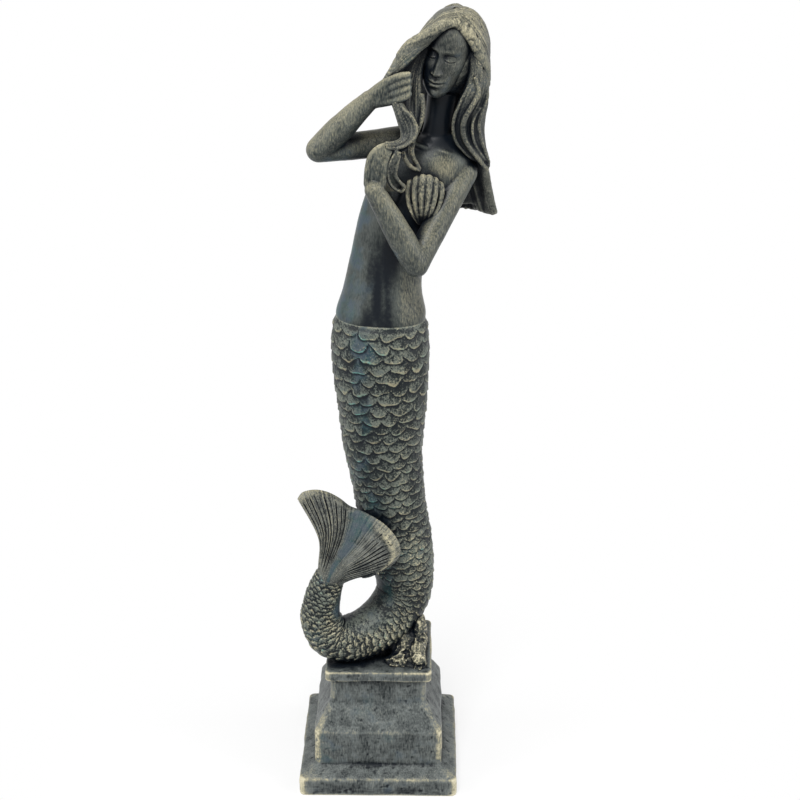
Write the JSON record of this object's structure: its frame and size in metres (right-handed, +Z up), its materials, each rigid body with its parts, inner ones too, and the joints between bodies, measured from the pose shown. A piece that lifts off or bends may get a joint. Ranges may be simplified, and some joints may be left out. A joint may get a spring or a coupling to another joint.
{
  "type": "mermaid figurine",
  "caption": "Standing mermaid with a looped, scaled tail on a stepped square plinth, cast in one piece as a free-standing garden or shelf ornament.",
  "frame": {"origin": "centre of the plinth's underside", "axes": "+Z up through the figure, -Y towards the viewer the figure faces, +X to the viewer's right"},
  "size_m": [0.1513, 0.125, 0.6092],
  "materials": {
    "patinated_resin": "dark bronze and blue-green antique paint, dry-brushed with pale gold on the raised detail, low satin sheen"
  },
  "bodies": {
    "root": {"mermaid_figurine": "patinated_resin"}
  },
  "joints": []
}
